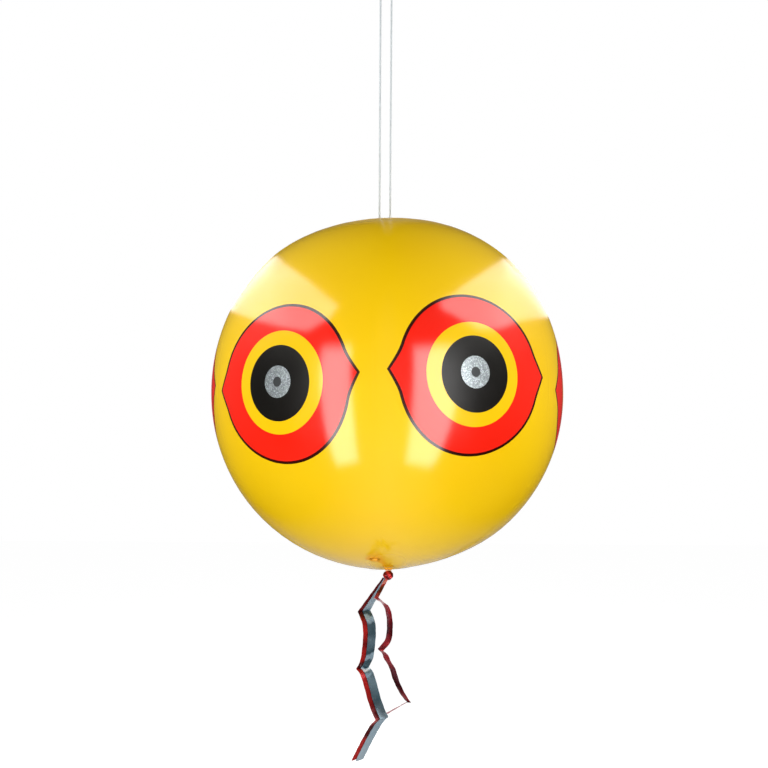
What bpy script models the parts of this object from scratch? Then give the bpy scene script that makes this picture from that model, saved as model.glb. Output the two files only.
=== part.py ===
"""Bird scare balloon: an inflatable ball of six welded gores, hung on a loop of cord, with
creased foil streamers on a tab under it. Metres, +Z up, the front of the ball towards -Y.
The origin is the middle of the support that the loop of cord hangs over."""

import math

import bmesh
import bpy
from mathutils import Matrix, Vector

# Driving dimensions
BALL_RADIUS = 0.200
FILM = 0.0003
GORES = 6
SEAM_GAP = 0.0003
FIT_GAP = 0.0003
FRONT_SEAM = math.radians(-3.4)
GORE_TIP_RADIUS = 0.012
UPPER_SHOULDER = 0.021
SIDE_SHOULDER = 0.007
LOWER_SHOULDER = 0.005
BALL_DROP = 0.500
BALL_TILT = math.radians(-1.1)

CAP_RADIUS = 0.030
CAP_FILM = 0.0005
TAB_WIDTH = 0.014
TAB_THICKNESS = 0.0012
TAB_HOLE = 0.0046
TAB_RIM = 0.0016
FOOT_RADIUS = 0.009
FOOT_THICKNESS = 0.0006

CORD_DIAMETER = 0.0025
CROWN_RADIUS = 0.0067
BIGHT_RADIUS = 0.0063
KNOT_RADIUS = 0.0036
KNOT_TOP = -0.0003
KNOT_BOTTOM = -0.0140
BIGHT_TOP = -0.1503

STICKER_DIAMETER = 0.0312
STICKER_FILM = 0.0003
STICKER_GAP = 0.0004
GAZE = math.radians(1.6)
PRINT_RISE = (-0.0023, 0.0032, 0.0008, -0.0010, 0.0005, -0.0006)

VALVE_LATITUDE = math.radians(-64.6)
VALVE_LONGITUDE = math.radians(-10.2)
FLANGE_RADIUS = 0.0095
FACET_SAG = 0.0004
FLANGE_THICKNESS = 0.0008
VALVE_CUP_RADIUS = 0.0062
VALVE_WALL = 0.0010
BORE_RADIUS = 0.0034
STEM_DEPTH = 0.0120
PLUG_CLEARANCE = 0.0002
PLUG_HEAD = 0.0016
PLUG_RECESS = 0.0007
SPIGOT_LENGTH = 0.0060
GRIP_HEIGHT = 0.0022
GRIP_WIDTH = 0.0060
GRIP_THICKNESS = 0.0012
FLAP_THICKNESS = 0.0005
STRAP_WIDTH = 0.0022
STRAP_THICKNESS = 0.0006

TAIL_LATITUDE = math.radians(-73.3)
TAIL_LONGITUDE = math.radians(-1.33)
PATCH_LENGTH = 0.0150
PATCH_WIDTH = 0.0098
PATCH_THICKNESS = 0.0006
TAIL_TAB_THICKNESS = 0.0010
TAIL_TAB_LENGTH = 0.0056
TAIL_TAB_END = 0.0036
TAIL_TAB_GAP = 0.0007
TAIL_KNOT_SIZE = (0.0058, 0.0054, 0.0054)
TAIL_KNOT_DROP = 0.0074

TAPE_WIDTH = 0.012
TAPE_THICKNESS = 0.0003
RED_TAPE_OFFSET = 0.0060
TAPE_NEST = 0.0012

LONGITUDE_STEPS = 8
LATITUDE_STEPS = 26
ROUND_STEPS = 28

# Stations of the long streamers' middle line: across and down from the foil knot's middle.
# The tape's width lies at 45 degrees to the front, so the line goes back as it goes left.
LONG_TAPE = (
    (-0.0037, -0.0034), (-0.0125, -0.0210), (-0.0237, -0.0409), (-0.0188, -0.0513),
    (-0.0174, -0.0627), (-0.0182, -0.0770), (-0.0203, -0.0916), (-0.0248, -0.1014),
    (-0.0198, -0.1070), (-0.0152, -0.1197), (-0.0115, -0.1317), (-0.0065, -0.1432),
    (-0.0033, -0.1486), (-0.0094, -0.1565), (-0.0191, -0.1757), (-0.0302, -0.2004),
)
RED_TAPE_SHORTER = 0.0025

# Stations of the short streamer: across, back and down, and half its width across and back
SHORT_TAPE = (
    ((-0.0029, -0.0014, -0.0053), (0.0008, -0.0013)),
    ((-0.0128, -0.0075, -0.0226), (0.0024, -0.0040)),
    ((-0.0055, -0.0032, -0.0281), (0.0028, -0.0050)),
    ((-0.0020, -0.0012, -0.0320), (0.0031, -0.0051)),
    ((0.0005, 0.0003, -0.0387), (0.0031, -0.0051)),
    ((0.0020, 0.0012, -0.0510), (0.0031, -0.0051)),
    ((0.0011, 0.0006, -0.0646), (0.0031, -0.0051)),
    ((-0.0019, -0.0011, -0.0708), (0.0031, -0.0051)),
    ((-0.0079, -0.0046, -0.0769), (0.0031, -0.0051)),
    ((-0.0030, -0.0018, -0.0816), (0.0034, -0.0049)),
    ((-0.0006, -0.0003, -0.0877), (0.0034, -0.0049)),
    ((0.0048, 0.0028, -0.0972), (0.0034, -0.0049)),
    ((0.0091, 0.0053, -0.1105), (0.0034, -0.0049)),
    ((0.0155, 0.0091, -0.1241), (0.0034, -0.0049)),
    ((0.0220, 0.0130, -0.1342), (0.0020, -0.0056)),
    ((-0.0020, 0.0230, -0.1500), (0.0008, -0.0059)),
)

# Route points of the cord, chosen by hand
BIGHT_ROUTE = (
    (-0.0065, 0, -0.1503), (-0.0064, 0, -0.1970), (-0.0063, 0, -0.2440), (-0.0063, 0, -0.2887),
    (-0.00546, 0, -0.29185), (-0.00315, 0, -0.29416), (0, 0, -0.2950), (0.00315, 0, -0.29416),
    (0.00546, 0, -0.29185), (0.0063, 0, -0.2887), (0.0063, 0, -0.2440), (0.0064, 0, -0.1970),
    (0.0065, 0, -0.1503),
)
CROWN_ROUTE = (
    (-0.0067, 0, 0), (-0.0058, 0, 0.00335), (-0.00335, 0, 0.0058), (0, 0, 0.0067),
    (0.00335, 0, 0.0058), (0.0058, 0, 0.00335), (0.0067, 0, 0),
)
UPPER_LEFT_ROUTE = ((-0.0067, 0, -0.0003), (-0.0067, 0, -0.0070), (-0.0067, 0, -0.0140))
LEFT_ROUTE = (
    (-0.0067, 0, -0.0143), (-0.0066, 0, -0.0600), (-0.0066, 0, -0.1050), (-0.0065, 0, -0.1500),
)
RIGHT_ROUTE = (
    (0.0067, 0, -0.0143), (0.0066, 0, -0.0600), (0.0066, 0, -0.1050), (0.0065, 0, -0.1500),
)

# Sizes that follow from the driving ones
TAB_BASE = BALL_RADIUS + FIT_GAP + CAP_FILM + FIT_GAP
TAB_HOLE_TOP = TAB_BASE + FOOT_THICKNESS + TAB_HOLE + 0.0001
CORD_ON_TAB = TAB_HOLE_TOP - FIT_GAP - CORD_DIAMETER / 2
BALL_CENTRE = Vector((-CORD_ON_TAB * math.sin(BALL_TILT), 0, -BALL_DROP))
CORD_STEP = 3 * CORD_DIAMETER
TAPE_NORMAL = Vector((1, -1, 0)).normalized()
TAPE_ACROSS = Vector((1, 1, 0)).normalized()


def clear_scene():
    for obj in list(bpy.data.objects):
        bpy.data.objects.remove(obj, do_unlink=True)


def new_collection(name):
    collection = bpy.data.collections.new(name)
    bpy.context.scene.collection.children.link(collection)
    return collection


def new_material(name, colour, roughness, metallic=0.0):
    material = bpy.data.materials.new(name)
    material.use_nodes = True
    shader = material.node_tree.nodes["Principled BSDF"]
    shader.inputs["Base Color"].default_value = (*colour, 1)
    shader.inputs["Roughness"].default_value = roughness
    shader.inputs["Metallic"].default_value = metallic
    return material


def add_object(name, data, material=None, parent=None, matrix=None):
    obj = bpy.data.objects.new(name, data)
    (PARTS if material else CUTTERS).objects.link(obj)
    if material:
        data.materials.append(material)
    obj.parent = parent
    if matrix:
        obj.matrix_local = matrix
    return obj


def mesh_from(bm, name):
    mesh = bpy.data.meshes.new(name)
    bm.to_mesh(mesh)
    bm.free()
    return mesh


def solidify(obj, thickness, offset):
    modifier = obj.modifiers.new("Film", "SOLIDIFY")
    modifier.thickness = thickness
    modifier.offset = offset


def screw(obj, steps=ROUND_STEPS):
    modifier = obj.modifiers.new("Turn", "SCREW")
    modifier.axis = "Z"
    modifier.steps = modifier.render_steps = steps
    modifier.use_merge_vertices = True
    modifier.merge_threshold = 0.00001


def smooth(obj, angle=40):
    obj.data.shade_smooth()
    obj.data.set_sharp_from_angle(angle=math.radians(angle))


def as_guide(obj):
    obj.hide_render = True
    obj.display_type = "WIRE"
    return obj


def combine(obj, other, operation):
    modifier = obj.modifiers.new(operation.title(), "BOOLEAN")
    modifier.object = other
    modifier.operation = operation
    modifier.solver = "EXACT"


# The ball
def ball_radius(latitude, longitude):
    shoulder = LOWER_SHOULDER
    if latitude > 0:
        shoulder = UPPER_SHOULDER + SIDE_SHOULDER * math.sin(longitude)
    return BALL_RADIUS * (1 + shoulder * math.sin(2 * latitude) ** 2)


def outward(latitude, longitude):
    flat = math.cos(latitude)
    return Vector((flat * math.sin(longitude), -flat * math.cos(longitude), math.sin(latitude)))


def on_ball(latitude, longitude, lift=0.0):
    return outward(latitude, longitude) * (ball_radius(latitude, longitude) + lift)


def ball_frame(latitude, longitude, lift=0.0):
    """A frame on the skin: Z outward, X to the east, Y to the north."""
    turn = 0.001
    north = on_ball(latitude + turn, longitude) - on_ball(latitude - turn, longitude)
    east = on_ball(latitude, longitude + turn) - on_ball(latitude, longitude - turn)
    z_axis = east.cross(north).normalized()
    x_axis = east.normalized()
    rotation = Matrix((x_axis, z_axis.cross(x_axis), z_axis)).transposed().to_4x4()
    return Matrix.Translation(on_ball(latitude, longitude) + z_axis * lift) @ rotation


def gore_longitude(index):
    return FRONT_SEAM + (index - 0.5) * 2 * math.pi / GORES


def make_gore(index, parent, material, cutter=None):
    bm = bmesh.new()
    bmesh.ops.create_grid(bm, x_segments=LONGITUDE_STEPS, y_segments=LATITUDE_STEPS, size=1)
    last_latitude = math.acos(GORE_TIP_RADIUS / BALL_RADIUS)
    middle = gore_longitude(index)
    for vertex in bm.verts:
        latitude = vertex.co.y * last_latitude
        ring = BALL_RADIUS * math.cos(latitude)
        half = math.pi / GORES - math.asin(SEAM_GAP / 2 / ring)
        vertex.co = on_ball(latitude, middle + vertex.co.x * half)
    name = f"gore_{index + 1}"
    gore = add_object(name, mesh_from(bm, name), material, parent)
    solidify(gore, FILM, -1)
    if cutter:
        combine(gore, cutter, "DIFFERENCE")
    smooth(gore)


def turned(name, profile, material, parent, matrix, closed=True):
    """A profile of (radius, height) points turned about Z."""
    mesh = bpy.data.meshes.new(name)
    points = [(radius, 0, height) for radius, height in profile]
    edges = [(i, i + 1) for i in range(len(points) - 1)]
    if closed:
        edges.append((len(points) - 1, 0))
    mesh.from_pydata(points, edges, [])
    obj = add_object(name, mesh, material, parent, matrix)
    screw(obj)
    return obj


def make_cap(name, sign, material, parent):
    widest = math.asin(CAP_RADIUS / BALL_RADIUS)
    steps = 5
    profile = []
    for i in range(steps + 1):
        angle = widest * i / steps
        radius = ball_radius(sign * (math.pi / 2 - angle), math.pi / 2) + FIT_GAP
        profile.append((radius * math.sin(angle), radius * math.cos(angle)))
    matrix = Matrix.Rotation(math.pi if sign < 0 else 0, 4, "X")
    cap = turned(name, profile, material, parent, matrix, closed=False)
    solidify(cap, CAP_FILM, 1)
    smooth(cap)


def make_sticker(index, parent, material):
    inner = BALL_RADIUS
    widest = math.asin(STICKER_DIAMETER / 2 / inner)
    steps = 3
    profile = []
    for i in range(steps + 1):
        angle = widest * i / steps
        profile.append((inner * math.sin(angle), inner * (math.cos(angle) - 1)))
    towards_pair = GAZE if index % 2 == 0 else -GAZE
    latitude = math.asin(PRINT_RISE[index] / BALL_RADIUS)
    matrix = ball_frame(latitude, gore_longitude(index) + towards_pair, STICKER_GAP)
    sticker = turned(f"eye_disc_{index + 1}", profile, material, parent, matrix, closed=False)
    solidify(sticker, STICKER_FILM, 1)
    smooth(sticker)


def box(name, size, centre, parent=None, material=None):
    bm = bmesh.new()
    bmesh.ops.create_cube(bm, size=1)
    bmesh.ops.scale(bm, vec=size, verts=bm.verts)
    bmesh.ops.translate(bm, vec=centre, verts=bm.verts)
    return add_object(name, mesh_from(bm, name), material, parent)


def cylinder(name, radius, depth, matrix, parent=None, steps=ROUND_STEPS):
    bm = bmesh.new()
    bmesh.ops.create_cone(
        bm, cap_ends=True, segments=steps, radius1=radius, radius2=radius, depth=depth
    )
    return add_object(name, mesh_from(bm, name), None, parent, matrix)


def make_hang_tab(parent, material):
    height = FOOT_THICKNESS + TAB_HOLE + TAB_RIM + 0.0001
    tab = box(
        "hang_tab",
        (TAB_THICKNESS, TAB_WIDTH, height),
        (0, 0, TAB_BASE + height / 2),
        parent,
        material,
    )
    round_top = tab.modifiers.new("Round top", "BEVEL")
    round_top.width = 0.0004
    round_top.segments = 1
    foot = cylinder(
        "hang_tab_foot", FOOT_RADIUS, FOOT_THICKNESS,
        Matrix.Translation((0, 0, TAB_BASE + FOOT_THICKNESS / 2)), parent,
    )
    hole_centre = TAB_HOLE_TOP - TAB_HOLE / 2
    sideways = Matrix.Rotation(math.pi / 2, 4, "Y")
    hole = cylinder(
        "hang_tab_hole", TAB_HOLE / 2, 4 * TAB_THICKNESS,
        Matrix.Translation((0, 0, hole_centre)) @ sideways, parent, 20,
    )
    combine(tab, as_guide(foot), "UNION")
    combine(tab, as_guide(hole), "DIFFERENCE")


# The valve, in the frame of the skin around it: Z points out of the ball
def make_valve(frame, parent, soft, clear):
    flange_top = -FILM - FIT_GAP - FACET_SAG - FLANGE_RADIUS ** 2 / (2 * BALL_RADIUS)
    cup_outer = VALVE_CUP_RADIUS
    cup_inner = cup_outer - VALVE_WALL
    floor = flange_top - PLUG_RECESS - PLUG_HEAD - FIT_GAP
    stem_outer = BORE_RADIUS + VALVE_WALL
    base_profile = (
        (cup_inner, flange_top),
        (FLANGE_RADIUS, flange_top),
        (FLANGE_RADIUS, flange_top - FLANGE_THICKNESS),
        (cup_outer, flange_top - FLANGE_THICKNESS),
        (cup_outer, floor - VALVE_WALL),
        (stem_outer, floor - VALVE_WALL),
        (stem_outer, -STEM_DEPTH),
        (BORE_RADIUS, -STEM_DEPTH),
        (BORE_RADIUS, floor),
        (cup_inner, floor),
    )
    turned("valve_base", base_profile, clear, parent, frame)

    flap_top = -STEM_DEPTH - FIT_GAP
    flap_profile = (
        (0, flap_top),
        (stem_outer, flap_top),
        (stem_outer, flap_top - FLAP_THICKNESS),
        (0, flap_top - FLAP_THICKNESS),
    )
    turned("valve_flap", flap_profile, clear, parent, frame, closed=False)

    head_radius = cup_inner - 2 * FIT_GAP - STRAP_THICKNESS
    head_top = flange_top - PLUG_RECESS
    head_bottom = head_top - PLUG_HEAD
    spigot_radius = BORE_RADIUS - PLUG_CLEARANCE
    plug_profile = (
        (0, head_top),
        (head_radius, head_top),
        (head_radius, head_bottom),
        (spigot_radius, head_bottom),
        (spigot_radius, floor - SPIGOT_LENGTH),
        (0, floor - SPIGOT_LENGTH),
    )
    plug = turned("valve_plug", plug_profile, clear, parent, frame, closed=False)
    grip = box(
        "valve_plug_grip",
        (GRIP_WIDTH, GRIP_THICKNESS, GRIP_HEIGHT + PLUG_HEAD / 2),
        (0, 0, head_top + (GRIP_HEIGHT - PLUG_HEAD / 2) / 2),
        parent,
    )
    grip.matrix_local = frame
    combine(plug, as_guide(grip), "UNION")

    strap_inner = head_radius + FIT_GAP
    strap_low = floor + FIT_GAP
    strap_high = head_top - PLUG_HEAD / 4
    strap = box(
        "plug_strap",
        (STRAP_WIDTH, STRAP_THICKNESS, strap_high - strap_low),
        (0, strap_inner + STRAP_THICKNESS / 2, (strap_high + strap_low) / 2),
        parent,
        soft,
    )
    strap.matrix_local = frame


# The tab under the ball, and the foil tied to it
def make_tail_patch(parent, material):
    bm = bmesh.new()
    bmesh.ops.create_grid(bm, x_segments=4, y_segments=5, size=1)
    for vertex in bm.verts:
        latitude = TAIL_LATITUDE + vertex.co.y * PATCH_LENGTH / 2 / BALL_RADIUS
        ring = BALL_RADIUS * math.cos(latitude)
        longitude = TAIL_LONGITUDE + vertex.co.x * PATCH_WIDTH / 2 / ring
        vertex.co = on_ball(latitude, longitude, FIT_GAP)
    patch = add_object("tail_patch", mesh_from(bm, "tail_patch"), material, parent)
    solidify(patch, PATCH_THICKNESS, 1)
    smooth(patch)


def make_tail_tab(root, material):
    tab = box(
        "tail_tab",
        (PATCH_WIDTH, TAIL_TAB_THICKNESS, TAIL_TAB_LENGTH),
        (0, 0, -TAIL_TAB_LENGTH / 2),
        None,
        material,
    )
    for vertex in tab.data.vertices:
        if vertex.co.z < -TAIL_TAB_LENGTH / 2:
            vertex.co.x = math.copysign(TAIL_TAB_END / 2, vertex.co.x)
    tab.location = root


def make_tail_knot(root, material):
    bm = bmesh.new()
    bmesh.ops.create_icosphere(bm, subdivisions=2, radius=1)
    bmesh.ops.scale(bm, vec=TAIL_KNOT_SIZE, verts=bm.verts)
    knot = add_object("tail_knot", mesh_from(bm, "tail_knot"), material)
    knot.location = root - Vector((0, 0, TAIL_KNOT_DROP))
    slot = box(
        "tail_knot_slot",
        (PATCH_WIDTH, TAIL_TAB_THICKNESS + 2 * FIT_GAP, TAIL_KNOT_SIZE[2] * 2),
        (0, 0, TAIL_KNOT_SIZE[2] - TAIL_TAB_LENGTH - FIT_GAP),
    )
    slot.location = root
    combine(knot, as_guide(slot), "DIFFERENCE")


def make_ribbon(name, stations, knot, material):
    """A tape through stations, from the knot, of a middle point and half its width."""
    bm = bmesh.new()
    bmesh.ops.create_grid(bm, x_segments=1, y_segments=len(stations) - 1, size=1)
    last = len(stations) - 1
    for vertex in bm.verts:
        middle, half = stations[round((1 - vertex.co.y) / 2 * last)]
        vertex.co = knot + Vector(middle) + Vector(half) * vertex.co.x
    ribbon = add_object(name, mesh_from(bm, name), material)
    solidify(ribbon, TAPE_THICKNESS, 0)


def long_stations(across, nest, shorter):
    """The long tape's stations, moved across and behind, with its end cut shorter."""
    stations = []
    gathered = (0.25, 0.7)
    for i, (x, z) in enumerate(LONG_TAPE):
        share = gathered[i] if i < len(gathered) else 1.0
        middle = Vector((x, -x, z)) - TAPE_ACROSS * across * share - TAPE_NORMAL * nest
        stations.append([middle, TAPE_ACROSS * TAPE_WIDTH / 2 * share])
    step = stations[-1][0] - stations[-2][0]
    stations[-1][0] -= step.normalized() * shorter
    return stations


# The cord
def smooth_route(points):
    """Points about CORD_STEP apart on a smooth curve through the route's points."""
    points = [Vector(p) for p in points]
    padded = [2 * points[0] - points[1]] + points + [2 * points[-1] - points[-2]]
    route = []
    for i in range(len(points) - 1):
        p0, p1, p2, p3 = padded[i:i + 4]
        pieces = max(1, round((p2 - p1).length / CORD_STEP))
        for k in range(pieces):
            t = k / pieces
            route.append(
                0.5 * (2 * p1 + (p2 - p0) * t + (2 * p0 - 5 * p1 + 4 * p2 - p3) * t ** 2
                       + (3 * p1 - p0 - 3 * p2 + p3) * t ** 3)
            )
    route.append(points[-1])
    return route


def make_cord(name, route, material):
    curve = bpy.data.curves.new(name, "CURVE")
    curve.dimensions = "3D"
    curve.bevel_depth = CORD_DIAMETER / 2
    curve.bevel_resolution = 2
    curve.use_fill_caps = True
    points = smooth_route(route)
    spline = curve.splines.new("POLY")
    spline.points.add(len(points) - 1)
    for target, point in zip(spline.points, points):
        target.co = (*point, 1)
    add_object(name, curve, material)


def make_cord_knot(material):
    """A barrel of three wraps where the two ends of the cord are tied."""
    height = KNOT_TOP - KNOT_BOTTOM
    waist = KNOT_RADIUS - CORD_DIAMETER / 4
    profile = [(0, KNOT_TOP), (CORD_DIAMETER / 2, KNOT_TOP)]
    for share, radius in (
        (0.16, CORD_DIAMETER * 0.7), (0.28, KNOT_RADIUS), (0.38, waist), (0.50, KNOT_RADIUS),
        (0.62, waist), (0.72, KNOT_RADIUS), (0.84, CORD_DIAMETER * 0.7),
    ):
        profile.append((radius, KNOT_TOP - height * share))
    profile += [(CORD_DIAMETER / 2, KNOT_BOTTOM), (0, KNOT_BOTTOM)]
    place = Matrix.Translation((CROWN_RADIUS, 0, 0))
    turned("cord_knot", profile, material, None, place, closed=False)


clear_scene()
PARTS = new_collection("Bird scare balloon")
CUTTERS = new_collection("Cutters")

yellow_film = new_material("Yellow film", (0.95, 0.66, 0.03), 0.18)
clear_vinyl = new_material("Clear vinyl", (0.86, 0.70, 0.20), 0.3)
silver_sticker = new_material("Silver sticker", (0.62, 0.66, 0.68), 0.25, 0.9)
white_cord = new_material("White cord", (0.85, 0.86, 0.86), 0.6)
silver_foil = new_material("Silver foil", (0.35, 0.50, 0.55), 0.2, 1.0)
red_foil = new_material("Red foil", (0.45, 0.02, 0.02), 0.2, 1.0)

balloon = bpy.data.objects.new("balloon_axis", None)
PARTS.objects.link(balloon)
balloon.location = BALL_CENTRE
balloon.rotation_euler = (0, BALL_TILT, 0)

valve_frame = ball_frame(VALVE_LATITUDE, VALVE_LONGITUDE)
valve_hole = as_guide(cylinder("valve_hole", VALVE_CUP_RADIUS, 0.01, valve_frame, balloon))
for number in range(GORES):
    make_gore(number, balloon, yellow_film, valve_hole if number == 0 else None)
    make_sticker(number, balloon, silver_sticker)
make_cap("top_cap", 1, yellow_film, balloon)
make_cap("bottom_cap", -1, yellow_film, balloon)
make_hang_tab(balloon, yellow_film)
make_valve(valve_frame, balloon, clear_vinyl, clear_vinyl)

make_tail_patch(balloon, yellow_film)
tab_lift = FIT_GAP + PATCH_THICKNESS + TAIL_TAB_GAP
ball_place = Matrix.Translation(BALL_CENTRE) @ Matrix.Rotation(BALL_TILT, 4, "Y")
tab_root = ball_place @ on_ball(TAIL_LATITUDE, TAIL_LONGITUDE, tab_lift)
knot_centre = tab_root - Vector((0, 0, TAIL_KNOT_DROP))
make_tail_tab(tab_root, yellow_film)
make_tail_knot(tab_root, red_foil)
red_stations = long_stations(RED_TAPE_OFFSET, TAPE_NEST, RED_TAPE_SHORTER)
short_stations = [(Vector(middle), Vector((*half, 0))) for middle, half in SHORT_TAPE]
make_ribbon("tail_silver", long_stations(0, 0, 0), knot_centre, silver_foil)
make_ribbon("tail_red", red_stations, knot_centre, red_foil)
make_ribbon("tail_short", short_stations, knot_centre, red_foil)

make_cord("cord_crown", CROWN_ROUTE, white_cord)
make_cord("cord_upper_left", UPPER_LEFT_ROUTE, white_cord)
make_cord_knot(white_cord)
make_cord("cord_left", LEFT_ROUTE, white_cord)
make_cord("cord_right", RIGHT_ROUTE, white_cord)
make_cord("cord_bight", BIGHT_ROUTE, white_cord)
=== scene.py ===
"""The looks of the bird scare balloon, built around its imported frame. Metres, +Z up, the
front of the ball towards -Y, the origin in the middle of the support that the cord hangs on."""

from math import acos, copysign, cos, hypot, pi, radians, sin

import bmesh
import bpy
import numpy as np
from mathutils import Matrix, Vector


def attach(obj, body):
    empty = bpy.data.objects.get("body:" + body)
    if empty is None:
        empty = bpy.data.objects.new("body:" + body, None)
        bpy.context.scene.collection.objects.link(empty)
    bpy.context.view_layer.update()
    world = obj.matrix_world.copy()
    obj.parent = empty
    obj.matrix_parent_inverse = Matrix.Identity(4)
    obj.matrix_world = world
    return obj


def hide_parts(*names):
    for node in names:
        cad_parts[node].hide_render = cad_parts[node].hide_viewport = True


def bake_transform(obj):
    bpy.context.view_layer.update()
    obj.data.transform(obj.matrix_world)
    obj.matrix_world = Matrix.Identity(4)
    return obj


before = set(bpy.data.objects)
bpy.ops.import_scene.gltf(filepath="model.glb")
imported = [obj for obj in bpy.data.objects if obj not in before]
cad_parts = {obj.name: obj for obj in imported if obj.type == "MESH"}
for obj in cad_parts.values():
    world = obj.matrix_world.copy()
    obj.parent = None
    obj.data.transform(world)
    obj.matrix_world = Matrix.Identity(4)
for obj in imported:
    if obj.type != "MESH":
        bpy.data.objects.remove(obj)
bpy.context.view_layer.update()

# The ball, as the frame has it
BALL_RADIUS = 0.2
BALL_CENTRE = np.array([0.003933, 0.0, -0.5])
TILT_COS = cos(radians(-1.1))
TILT_SIN = sin(radians(-1.1))
TILT = np.array([[TILT_COS, 0, TILT_SIN], [0, 1, 0], [-TILT_SIN, 0, TILT_COS]])
GORES = 6
GORE_ANGLE = 2 * pi / GORES
FRONT_SEAM = radians(-3.4)
GORE_TIP_RADIUS = 0.012
TIP_LATITUDE = acos(GORE_TIP_RADIUS / BALL_RADIUS)
# How far the shoulders stand proud, as shares of the radius
UPPER_SHOULDER = 0.021
SIDE_SHOULDER = 0.007
LOWER_SHOULDER = 0.005
# The film lies a little flatter near its poles: (share of the radius, lean towards +X,
# how far round it reaches, how softly it starts), angles in degrees
TOP_FLAT = (0.013, -6, 36, 26)
BOTTOM_FLAT = (0.0085, 16, 24, 20)
FILM = 0.0003
CAP_FILM = 0.0005
# The weld's groove between gores, and the puckers beside it. They grow from one latitude in
# radians and die out from another: (start, width)
GROOVE_DEPTH = 0.00009
GROOVE_WIDTH = 0.0011
PUCKER_HEIGHT = 0.00012
PUCKER_REACH = 0.02
PUCKER_WAVES = 36
PUCKER_GROWS = (0.9, 0.35)
PUCKER_ENDS = (1.4, -0.12)

# The print. Places are (latitude, longitude from the gore's middle) in degrees, and tips are
# the bearings of an eye's two points. lean says which way the eye's round edge is fuller.
PUPIL = radians(10.55)
IRIS = radians(14.6)
EYE = radians(22.5)
EYE_WIDER = radians(0.55)
EYE_LEAN = radians(0.24)
EYE_SQUARE = radians(0.33)
TIP_SPREAD = radians(17.5)
TIP_SHARPNESS = 1.75
OUTLINE = radians(0.85)
STICKER = 0.0312 / 2 / BALL_RADIUS
STICKER_DOT = 0.0098 / 2 / BALL_RADIUS
STICKER_LIFT = 0.0004
PUPIL_TALLER = 0.012
LEFT_EYE = {"outline": (-1.03, 0.2), "pupil": (-0.98, 1.24), "iris": (-0.74, 1.13),
            "sticker": (-0.66, 1.45), "tips": ((4.0, 2.6), (180.6, 3.1)), "lean": 1}
RIGHT_EYE = {"outline": (0.49, -0.6), "pupil": (0.5, -1.29), "iris": (0.48, -1.45),
             "sticker": (0.92, -1.75), "tips": ((1.3, 3.0), (177.5, 2.7)), "lean": -1}
PRINT_SHIFT = {2: (-0.9, 1.7), 5: (0.0, 1.3)}

# The valve and the tab under the ball, at their latitude and longitude
VALVE = (radians(-64.6), radians(-10.2))
VALVE_HOLE = 0.0062
VALVE_PANEL_TOP = radians(-50)
TAIL = (radians(-73.3), radians(-1.33))
TAB_ROOT = Vector((0.0063, -0.058, -0.6934))
KNOT_CENTRE = Vector((0.0063, -0.058, -0.7008))

CORD_DIAMETER = 0.0025
# Points round each ring of the gores' film, and how many of them lie on each of their sides
SPOKES = 120
EDGE_SIDES = 46
PANEL_SIDES = 24
# Steps from the film's inner edges to its outer ones, and how much they widen outwards
EDGE_RINGS = (18, 1.25)
HOLE_RINGS = (26, 1.7)
IRIS_RINGS = 3
RED_RINGS = 6
PUPIL_RINGS = 7
# Points round the cord, the valve and the tab, the caps and the patch
CORD_POINTS = 20
ROUND_POINTS = 48
CAP_POINTS = 64
PATCH_POINTS = 72
# Points nearer than these are joined, in the film's shells and in the lofts
SHELL_WELD = 0.00002
SHELL_SLIVER = 0.00001
LOFT_WELD = 0.000005
# The step over which the ball's slope is measured, and how near a pole it can be, in radians
SLOPE_STEP = 0.0006
POLE_GAP = 0.002


def bearings_round(count):
    """Angles at even steps all the way round."""
    return np.arange(count) * 2 * pi / count


def rising(value, start, width):
    """0 up to the start, then evenly up to 1 over the width. A negative width falls."""
    return np.clip((value - start) / width, 0, 1)


# Materials, with their colours written as they show on the screen, 0 to 255
def colour(red, green, blue):
    """The shaders' own, linear values of a colour."""
    values = []
    for c in (red, green, blue):
        c /= 255
        values.append(c / 12.92 if c <= 0.04045 else ((c + 0.055) / 1.055) ** 2.4)
    return tuple(values)


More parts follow.
